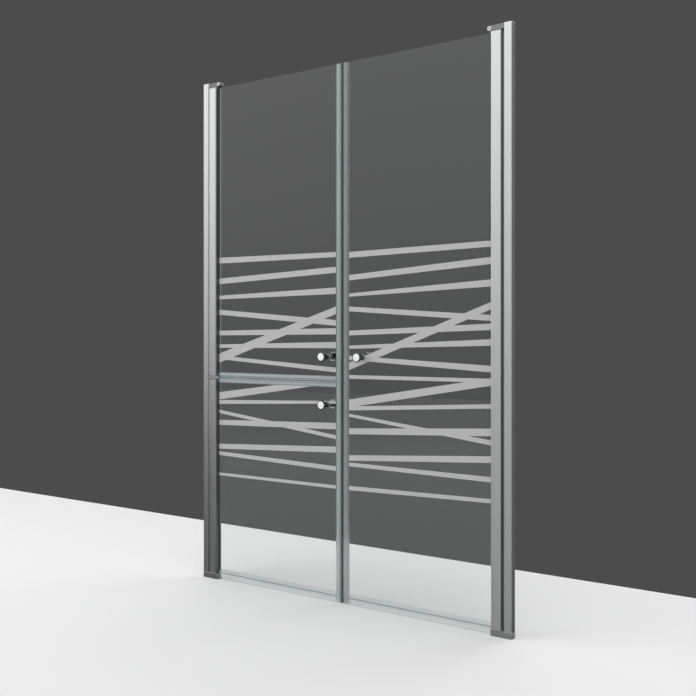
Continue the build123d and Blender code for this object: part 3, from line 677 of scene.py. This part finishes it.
# %% [markdown]
# ## Magnetic seals
#
# A clear PVC channel grips each closing edge and ends in a box that holds a magnet. The die leaves fine
# ridges along the channel and round corners on the box, and these are the thin pale and dark lines that the
# photograph shows down the middle. The section is drawn for a leaf on the left: x is the way to the seam.

# %% Magnetic seals
SEAL_WALL, SEAL_CLEAR, BOX_WALL, BOX_CORNER = 1.0, 0.1, 0.9, 0.6
RIDGE, RIDGE_WIDTH, LEAD_IN, LEAD_DEPTH = 0.25, 0.9, 0.8, 0.3
RIDGE_PLACES = (0.22, 0.5, 0.78)


def magnetic_section(grip_start, box_start, box_end, box_half):
    """Channel from grip_start to box_start with ridges outside and a box to box_end, and the box's hollow."""
    inner, outer = GLASS_FACE + SEAL_CLEAR, GLASS_FACE + SEAL_CLEAR + SEAL_WALL
    length = box_start - grip_start
    low = outer - RIDGE
    side = [(grip_start, inner), (grip_start, outer - LEAD_DEPTH), (grip_start + LEAD_IN, low)]
    for share in RIDGE_PLACES:
        middle = grip_start + share * length
        side += [(middle - RIDGE_WIDTH, low), (middle, outer), (middle + RIDGE_WIDTH, low)]
    side += [(box_start - LEAD_IN, low), (box_start, box_half), (box_end, box_half)]
    radii = [0.15, 0.2, 0.1] + [0.1, 0.3, 0.1] * len(RIDGE_PLACES) + [0.5, 0.6, 1.0]
    corners = [(x, -y) for x, y in side] + side[::-1] + [(box_start, inner), (box_start, -inner)]
    hollow_half = box_half - BOX_WALL
    hollow = rounded(
        [(box_start + BOX_WALL, -hollow_half), (box_end - BOX_WALL, -hollow_half),
         (box_end - BOX_WALL, hollow_half), (box_start + BOX_WALL, hollow_half)],
        BOX_CORNER,
    )
    return [rounded(corners, radii + radii[::-1] + [0.2, 0.2]), hollow]


for leaf in LEAVES:
    node = f"magnetic_seal_{leaf}"
    low, high = corners_of(node)
    inwards = hang_of(leaf)[1]
    glass_end = -min(abs(np.array(corners_of(f"glass_{leaf}"))[:, 0]))
    start, end = -max(abs(low[0]), abs(high[0])), -min(abs(low[0]), abs(high[0]))
    section = [
        outline * (inwards, 1) for outline in magnetic_section(start, glass_end + SEAL_CLEAR, end, high[1])
    ]
    piece = extrusion(f"{node}_drawn", [(section, low[2], high[2])], ALONG_Z, finish_of(node))
    print(stand_for(piece, node).name, len(piece.data.polygons), "faces")

# %% [markdown]
# ## Split seals and drip seals
#
# The two left leaves meet in two soft bulbs, each on a channel that grips its glass edge. The lower edges
# carry the same channel with a straight lip and a fin that leads the water inwards. They run along X, so
# their section is in Y and Z. The lip and the fin start later than the channel, to swing past the bracket.

# %% Split seals and drip seals
CHANNEL_BASE, BULB_HALF, BULB_WALL = 1.5, 3.2, 1.0
LIP_THICKNESS, FIN_ROOT, FIN_TIP, FIN_REACH, FIN_DROP = 1.2, 2.4, 1.0, 9.0, 11.0
SWING_CLEAR, CUT = 2.0, 0.02
CHANNEL_RADII = [0.4, 0.15, 0.2, 0.2, 0.15, 0.4]


def channel_corners(edge, tip, up):
    """Corners of the gripping channel from its base's left end round the glass to its right end."""
    inner, outer = GLASS_FACE + SEAL_CLEAR, GLASS_FACE + SEAL_CLEAR + SEAL_WALL
    floor, base = edge - up * SEAL_CLEAR, edge - up * (SEAL_CLEAR + CHANNEL_BASE)
    return [
        (-outer, base), (-outer, tip), (-inner, tip), (-inner, floor),
        (inner, floor), (inner, tip), (outer, tip), (outer, base)]


for leaf, up in (("upper_left", 1), ("lower_left", -1)):
    node = f"split_seal_{leaf}"
    low, high = corners_of(node)
    glass_low, glass_high = corners_of(f"glass_{leaf}")
    edge = glass_low[2] if up > 0 else glass_high[2]
    tip, bulb_end = (high[2], low[2]) if up > 0 else (low[2], high[2])
    base = edge - up * (SEAL_CLEAR + CHANNEL_BASE)
    outside = rounded(
        channel_corners(edge, tip, up)
        + [(BULB_HALF, base), (BULB_HALF, bulb_end), (-BULB_HALF, bulb_end), (-BULB_HALF, base)],
        [0.4, *CHANNEL_RADII, 0.4, 0.2, 2.0, 2.0, 0.2],
    )
    inside, soft_end = BULB_HALF - BULB_WALL, bulb_end + up * BULB_WALL
    hollow = rounded([(inside, base), (inside, soft_end), (-inside, soft_end), (-inside, base)], 1.0)
    piece = extrusion(f"{node}_bulb", [([outside, hollow], low[0], high[0])], ALONG_X, finish_of(node))
    print(stand_for(piece, node).name, len(piece.data.polygons), "faces")

for leaf in ("right", "lower_left"):
    node = f"drip_seal_{leaf}"
    low, high = corners_of(node)
    edge = corners_of(f"glass_{leaf}")[0][2]
    base, outer = edge - SEAL_CLEAR - CHANNEL_BASE, GLASS_FACE + SEAL_CLEAR + SEAL_WALL
    with_fins = rounded(
        channel_corners(edge, high[2], 1)
        + [(FIN_ROOT, base), (FIN_REACH, base - FIN_DROP), (FIN_REACH - FIN_TIP, base - FIN_DROP), (0, base),
           (LIP_THICKNESS - outer, base), (LIP_THICKNESS - outer, low[2]), (-outer, low[2])],
        [0.01, *CHANNEL_RADII, 0.4, 0.6, 0.35, 0.35, 0.6, 0.3, 0.4, 0.4],
    )
    plain = rounded(channel_corners(edge, high[2], 1), [0.4, *CHANNEL_RADII, 0.4])
    bracket = np.array(corners_of("bottom_bracket_right" if leaf == "right" else "bottom_bracket_left"))
    axis, inwards = hang_of(leaf)
    nose = abs(axis) - min(abs(bracket[:, 0]))
    fins_end = abs(axis) - math.hypot(nose, bracket[1, 1]) - SWING_CLEAR
    start, end = sorted((abs(low[0]), abs(high[0])))
    parts = [
        ([outline], *sorted((-inwards * first, -inwards * last)))
        for outline, first, last in ((with_fins, start, fins_end), (plain, fins_end + CUT, end))]
    piece = extrusion(f"{node}_finned", parts, ALONG_X, finish_of(node))
    print(stand_for(piece, node).name, len(piece.data.polygons), "faces")

# %% [markdown]
# ## Knobs and washers
#
# The knobs are turned: a foot on a soft washer, a slim neck and a flat round head with a soft rim. A lathe
# makes a surface of revolution, so an outline of radius and height is turned about the knob's axis.
# The head's face is very slightly domed, as turned faces are, and that keeps its reflection alive.

# %% Knobs and washers
KNOB_LENGTH, HEAD_LENGTH, HEAD_RADIUS, NECK_RADIUS = 37.0, 9.0, 16.5, 8.0
FOOT_RADIUS, FOOT_LENGTH, BORE_RADIUS, BORE_DEPTH, DOME = 10.0, 3.0, 3.1, 22.0, 0.3
WASHER_THICKNESS, BARREL_RADIUS, BARREL_END = 1.0, 5.8, 0.2 - GLASS_FACE
DOME_RADIUS, DOME_STEPS = HEAD_RADIUS - 3.0, 12


def knob_outline():
    """Radius and height of the knob from its bore, over foot, neck and head, to the middle of its domed face.

    The height at radius r of the dome is that of its rim plus DOME times one minus (r / DOME_RADIUS) squared.
    """
    neck_end, shoulder = KNOB_LENGTH - HEAD_LENGTH, FOOT_LENGTH + FOOT_RADIUS - NECK_RADIUS
    rim = KNOB_LENGTH - DOME
    body = rounded(
        [(BORE_RADIUS, 0), (FOOT_RADIUS, 0), (FOOT_RADIUS, FOOT_LENGTH), (NECK_RADIUS, shoulder),
         (NECK_RADIUS, neck_end), (HEAD_RADIUS, neck_end), (HEAD_RADIUS, rim), (BORE_RADIUS, rim)],
        [0.2, 0.4, 0.5, 1.0, 1.0, 1.2, 1.4, 0.01],
    )
    r = np.linspace(DOME_RADIUS, 0, DOME_STEPS)
    face = np.column_stack((r, rim + DOME * (1 - (r / DOME_RADIUS) ** 2)))
    bore = [(0, BORE_DEPTH), (BORE_RADIUS, BORE_DEPTH)]
    below = body[(body[:, 0] > BORE_RADIUS + 0.05) | (body[:, 1] < 1)]
    return np.vstack((below, face, bore))


washer = rounded(
    [(BORE_RADIUS, WASHER_THICKNESS), (FOOT_RADIUS, WASHER_THICKNESS), (FOOT_RADIUS, 0), (BARREL_RADIUS, 0),
     (BARREL_RADIUS, BARREL_END), (BORE_RADIUS, BARREL_END)],
    [0.1, 0.3, 0.15, 0.1, 0.1, 0.1],
)
for leaf in LEAVES:
    low, high = corners_of(f"knob_outer_{leaf}")
    x, z = (low[0] + high[0]) / 2, (low[2] + high[2]) / 2
    for which, out in (("outer", -1), ("inner", 1)):
        node = f"knob_{which}_{leaf}"
        seat = (x, out * (GLASS_FACE + WASHER_THICKNESS), z)
        piece = lathe(f"{node}_turned", [(knob_outline(), seat, out)], finish_of(node))
        print(stand_for(piece, node).name, len(piece.data.polygons), "faces")
    washers = [(washer, (x, out * GLASS_FACE, z), out) for out in (-1, 1)]
    node = f"knob_washers_{leaf}"
    piece = lathe(f"{node}_turned", washers, finish_of(node))
    print(stand_for(piece, node).name, len(piece.data.polygons), "faces")

# %% [markdown]
# ## Softened edges
#
# No edge on the real thing is a knife edge: castings are tumbled, extrusions leave the die with a small
# radius, and the glass has a ground arris. A Bevel on a welded copy of the CAD solid gives each edge the thin
# bright line that it catches in the light. The width is what such pieces have.

# %% Softened edges: widths in millimetres, by the start of a node's name
EDGE_WIDTHS = {
    "top_bracket": 0.6, "bottom_bracket": 0.6, "mid_bracket": 0.5, "frame_profile": 0.2, "frame_caps": 0.3,
    "clamp_screws": 0.15, "clamp_nuts": 0.15, "screw_caps": 0.25, "glass_": 0.4, "end_plugs": 0.25,
}
for kind, width in EDGE_WIDTHS.items():
    for node in SLOT_OF:
        if node.startswith(kind):
            print(softened(node, width).name, "has edges of", width, "mm")

# %% [markdown]
# ## The frosted stripes
#
# Tapering stripes are silk-screened across each side at about half height, and some of them cross. They
# could be painted on the glass by a material, but then the edges would blur in a baked map, so they are a
# film: thin closed pieces on the room face of the glass. Where stripes cross, it is still one layer thick.
# Each stripe is two straight lines, one for each edge. Between two neighbouring crossings the order of the
# lines doesn't change, so there the film is a stack of cells, and a cell belongs to it if its middle lies in
# any stripe.

# %% Stripe heights in millimetres, (low, high) at the left and at the right end of a side
LEFT_SPAN, RIGHT_SPAN = (-598.0, -20.0), (28.0, 565.0)
LEFT_STRIPES = [
    ((1206.5, 1228.5), (1206.0, 1223.5)),
    ((1126.5, 1147.5), (1151.5, 1172.5)),
    ((1069.0, 1082.5), (1077.5, 1100.0)),
    ((1012.5, 1031.5), (966.0, 986.0)),
    ((931.5, 949.0), (936.5, 958.0)),
    ((884.0, 896.5), (888.0, 910.0)),
    ((820.0, 855.0), (1008.5, 1035.0)),
    ((842.6, 856.0), (803.5, 820.0)),
    ((683.4, 711.5), (767.8, 787.0)),
    ((668.5, 684.0), (694.6, 704.3)),
    ((637.5, 650.0), (570.0, 584.0)),
    ((589.0, 608.0), (605.0, 627.5)),
    ((497.5, 516.0), (524.0, 545.0)),
    ((475.0, 489.0), (460.0, 476.0)),
    ((396.7, 407.3), (398.1, 409.9)),
]
RIGHT_STRIPES = [
    ((1201.0, 1221.0), (1211.0, 1230.0)),
    ((1122.5, 1141.0), (1156.5, 1178.5)),
    ((1066.5, 1077.5), (1086.5, 1108.5)),
    ((1016.5, 1032.5), (980.0, 998.5)),
    ((932.5, 949.0), (950.5, 970.5)),
    ((886.5, 897.5), (901.5, 921.5)),
    ((811.5, 837.6), (1011.5, 1035.0)),
    ((848.5, 863.0), (819.0, 839.5)),
    ((783.5, 796.0), (786.0, 798.5)),
    ((683.6, 710.6), (775.0, 799.0)),
    ((673.5, 687.7), (705.0, 718.5)),
    ((652.5, 662.5), (591.5, 607.5)),
    ((591.5, 611.5), (618.5, 642.5)),
    ((500.0, 518.5), (535.0, 556.0)),
    ((481.0, 494.0), (475.0, 491.5)),
    ((398.3, 413.1), (409.6, 422.6)),
]
FILM_THICKNESS, FILM_GAP = 0.12, 0.02
FILM_LOW, FILM_HIGH, THINNEST_CELL = 380, 1300, 1e-5
print(len(LEFT_STRIPES), "and", len(RIGHT_STRIPES), "stripes")

# %% Film from stripes


def stripe_cells(stripes, span, x0, x1, floor, ceiling):
    """Cells that the stripes cover, each as x0, x1 and its low and high edge at both.

    An edge is z = z_left + (z_right - z_left) * (x - left) / (right - left). The cuts in x are the crossings.
    """
    ends = np.array(stripes, float)
    left, right = ends[:, 0, :].ravel(), ends[:, 1, :].ravel()
    slope = (right - left) / (span[1] - span[0])
    start = left - slope * span[0]
    slope, start = np.append(slope, (0, 0)), np.append(start, (floor, ceiling))
    i, j = np.triu_indices(len(slope), 1)
    turn = slope[i] - slope[j]
    crossings = (start[j] - start[i])[turn != 0] / turn[turn != 0]
    cuts = np.unique(np.round(crossings[(crossings > x0) & (crossings < x1)], 6))
    cuts = np.concatenate(([x0], cuts, [x1]))
    cells = []
    for a, b in zip(cuts[:-1], cuts[1:]):
        middle = start + slope * (a + b) / 2
        order = np.argsort(middle)
        lines = middle[order]
        centre = (lines[:-1] + lines[1:]) / 2
        low, high = middle[0:-2:2], middle[1:-1:2]
        covered = ((centre[:, None] > low) & (centre[:, None] < high)).any(1)
        covered &= (centre > floor) & (centre < ceiling) & (np.diff(lines) > THINNEST_CELL)
        heights = start + slope * np.array([[a], [b]])
        for k in np.flatnonzero(covered):
            bottom, top = order[k], order[k + 1]
            above = k + 1 < len(covered) and covered[k + 1]
            below = k > 0 and covered[k - 1]
            cells.append((a, b, *heights[:, bottom], *heights[:, top], below, above))
    return cells


def film(name, stripes, span, x0, x1, floor, ceiling):
    """Closed film over the cells: front, back, and a rim wherever a cell has no neighbour."""
    face_y = -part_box("glass_right")[1].y - FILM_GAP * MM
    front, back = face_y - FILM_THICKNESS * MM, face_y
    points, faces = [], []

    def quad(*corners):
        faces.append(list(range(len(points), len(points) + len(corners))))
        points.extend(corners)

    cells = stripe_cells(stripes, span, x0, x1, floor, ceiling)
    for a, b, low_a, low_b, high_a, high_b, below, above in cells:
        corners = [(a, low_a), (b, low_b), (b, high_b), (a, high_a)]
        rims = [not below, b == x1, not above, a == x0]
        for y in (front, back):
            quad(*[(x * MM, y, z * MM) for x, z in corners])
        for k, open_side in enumerate(rims):
            if open_side:
                (xa, za), (xb, zb) = corners[k], corners[(k + 1) % 4]
                quad(*[(x * MM, y, z * MM) for x, z, y in (
                    (xa, za, front), (xb, zb, front), (xb, zb, back), (xa, za, back))])
    return new_piece(name, points, faces, finishes["stripe_frost"], smooth=False)


print("the film is", FILM_THICKNESS, "mm thick")

# %% [markdown]
# The stripes are ceramic frost: rough, pale and nearly opaque, with a fine speckle where the ink was printed.
# The film stops just short of gaskets and seals, and a little alpha lets the dark behind show through.

# %% Frost
FROST_ALPHA = 0.78
frost, frost_shader = start_material("stripe_frost", grey(0.46), roughness=0.62)
frost_shader.inputs["Alpha"].default_value = FROST_ALPHA
speckle = noise(frost, 3000)
tint(frost, frost_shader, speckle, grey(0.43), grey(0.49))
raise_grain(frost, frost_shader, speckle, 0.03 * MM, 0.4)
finishes["stripe_frost"] = frost
print(len(finishes), "finishes in all")

# %% Lay the film on the leaves
EDGE_GAP = 0.4
gasket_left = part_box("glazing_gaskets_upper_left")[1].x / MM + EDGE_GAP
seal_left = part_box("magnetic_seal_upper_left")[0].x / MM - EDGE_GAP
gasket_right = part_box("glazing_gaskets_right")[0].x / MM - EDGE_GAP
seal_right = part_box("magnetic_seal_right")[1].x / MM + EDGE_GAP
split_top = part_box("split_seal_upper_left")[1].z / MM + EDGE_GAP
split_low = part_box("split_seal_lower_left")[0].z / MM - EDGE_GAP
right_side = (RIGHT_STRIPES, RIGHT_SPAN, seal_right, gasket_right)
left_side = (LEFT_STRIPES, LEFT_SPAN, gasket_left, seal_left)
films = {
    "right": (*right_side, FILM_LOW, FILM_HIGH),
    "upper_left": (*left_side, split_top, FILM_HIGH),
    "lower_left": (*left_side, FILM_LOW, split_low),
}
for leaf, reach in films.items():
    piece = film(f"stripes_{leaf}", *reach)
    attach(piece, f"{leaf}_leaf")
    print(piece.name, len(piece.data.polygons), "faces")

# %% [markdown]
# ## Floor
#
# The screen stands on a plain pale floor, which keeps its shadow. Metal mirrors the floor in a darker tone,
# since Light Path tells a mirrored ray from a straight one: dark at the left, paler at the right, and paler
# still behind the screen. That gives the profiles the dark foot that the photograph shows.

# %% Floor
FLOOR_REACH, FLOOR_BACK, FLOOR_DROP, FLOOR_TONE = 9, 0.78, 0.0005, 0.66
VIEW_SLANT, LEFT_END, RIGHT_END, BACK_START, BACK_END = 0.7, -0.8, 1.0, 0.02, 0.1
MIRROR_LEFT, MIRROR_RIGHT, MIRROR_BEHIND = 0.006, 0.165, 0.4
floor_corners = [
    (-FLOOR_REACH, -FLOOR_REACH, 0), (FLOOR_REACH, -FLOOR_REACH, 0),
    (FLOOR_REACH, FLOOR_BACK, 0), (-FLOOR_REACH, FLOOR_BACK, 0)]
floor_mesh = bpy.data.meshes.new("floor")
floor_mesh.from_pydata(floor_corners, [], [(0, 1, 2, 3)])
floor = bpy.data.objects.new("floor", floor_mesh)
bpy.context.collection.objects.link(floor)
floor.location.z = cad_box[0][2] - FLOOR_DROP
pale, pale_shader = start_material("floor_pale", grey(0.74), roughness=0.7)
floor_x, floor_y = along(pale, "Object", "X", sign=1), along(pale, "Object", "Y", sign=1)
rightwards = combine(pale, "SUBTRACT", floor_x, combine(pale, "MULTIPLY", floor_y, VIEW_SLANT))
rays = add_node(pale, "ShaderNodeLightPath").outputs
straight = combine(pale, "SUBTRACT", 1.0, rays["Is Transmission Ray"])
mirrored = combine(pale, "MULTIPLY", rays["Is Glossy Ray"], straight)
in_front = ease(pale, rightwards, LEFT_END, RIGHT_END, MIRROR_LEFT, MIRROR_RIGHT)
behind = ease(pale, floor_y, BACK_START, BACK_END, 0.0, MIRROR_BEHIND)
mirror_tone = combine(pale, "MAXIMUM", in_front, behind)
fall = combine(pale, "MULTIPLY", mirrored, combine(pale, "SUBTRACT", FLOOR_TONE, mirror_tone))
tone = combine(pale, "SUBTRACT", FLOOR_TONE, fall)
tint(pale, pale_shader, tone, grey(0.0), grey(1.0), 0.0, 1.0)
floor_mesh.materials.append(pale)
print("floor from y =", -FLOOR_REACH, "to", FLOOR_BACK, "m")

# %% [markdown]
# ## Backdrop and studio
#
# The backdrop is plain and dark, which the clear glass and the pale stripes need to be seen at all. It is
# the world, as the camera sees it, straight or through glass. All other rays see the studio: pale overhead
# and dark below in front of the screen, and more even behind it. Metal mirrors that, so it fades downwards.

# %% World
BACKDROP = (0.07128, 0.072, 0.07128)
FRONT_SHADES = ((0.36, grey(0.04)), (0.5, grey(0.38)), (0.64, grey(1.05)))
BACK_SHADES = ((0.3, grey(0.3)), (0.64, grey(0.85)))
BLEND_DEPTH = 0.2
MIX_FACTOR, MIX_FIRST, MIX_SECOND, MIX_RESULT = 0, 6, 7, 2
world = bpy.data.worlds.new("studio")
bpy.context.scene.world = world
world.use_nodes = True
link = world.node_tree.links.new
direction = add_node(world, "ShaderNodeSeparateXYZ")
link(add_node(world, "ShaderNodeTexCoord").outputs["Generated"], direction.inputs["Vector"])
height = ease(world, direction.outputs["Z"], -1.0, 1.0)
sides = add_node(world, "ShaderNodeMix")
sides.data_type = "RGBA"
link(ease(world, direction.outputs["Y"], -BLEND_DEPTH, BLEND_DEPTH), sides.inputs[MIX_FACTOR])
link(ramp(world, height, FRONT_SHADES), sides.inputs[MIX_FIRST])
link(ramp(world, height, BACK_SHADES), sides.inputs[MIX_SECOND])
studio = world.node_tree.nodes["Background"]
link(sides.outputs[MIX_RESULT], studio.inputs["Color"])
backdrop = add_node(world, "ShaderNodeBackground", Color=(*BACKDROP, 1.0))
rays = add_node(world, "ShaderNodeLightPath").outputs
seen = combine(world, "MAXIMUM", rays["Is Camera Ray"], rays["Is Transmission Ray"])
mix_shaders(world, seen, studio.outputs["Background"], backdrop.outputs["Background"], "World Output")
print("backdrop", BACKDROP)

# %% [markdown]
# ## Lamps
#
# Large area lamps give soft shadows. Metal and glass mirror only the top and side lamps, because the others
# would show in them as white patches.

# %% Lamps


def soft_box(name, place, aim, width, height, power, mirrored=False):
    """A rectangular area lamp at a place, turned towards a point; metal and glass show it if mirrored."""
    lamp = bpy.data.lights.new(name, "AREA")
    lamp.shape = "RECTANGLE"
    lamp.size, lamp.size_y, lamp.energy = width, height, power
    box = bpy.data.objects.new(name, lamp)
    box.location = place
    forward = np.array(aim, float) - np.array(place, float)
    flat = math.hypot(forward[0], forward[1])
    box.rotation_euler = (math.atan2(flat, -forward[2]), 0, math.atan2(-forward[0], forward[1]))
    box.visible_glossy = mirrored
    box.visible_transmission = mirrored
    bpy.context.collection.objects.link(box)


soft_box("key", (-3.0, -3.4, 2.6), (0, 0, 1.1), 3.4, 2.2, 78)
soft_box("fill", (3.4, -2.4, 2.2), (0, 0, 1.0), 1.6, 1.6, 20)
soft_box("top", (0, -0.8, 3.6), (0, 0, 1.0), 2.4, 1.6, 14, mirrored=True)
soft_box("back", (1.4, 3.4, 2.4), (0, 0, 1.1), 2.4, 1.8, 45)
soft_box("side", (-4.2, -0.5, 1.4), (-0.4, 0, 1.0), 0.7, 2.6, 12, mirrored=True)
print(len(bpy.data.lights), "lamps")

# %% [markdown]
# ## Finish
#
# The Standard view transform shows each colour about as it is written.

# %% Finish
bpy.context.scene.view_settings.view_transform = "Standard"
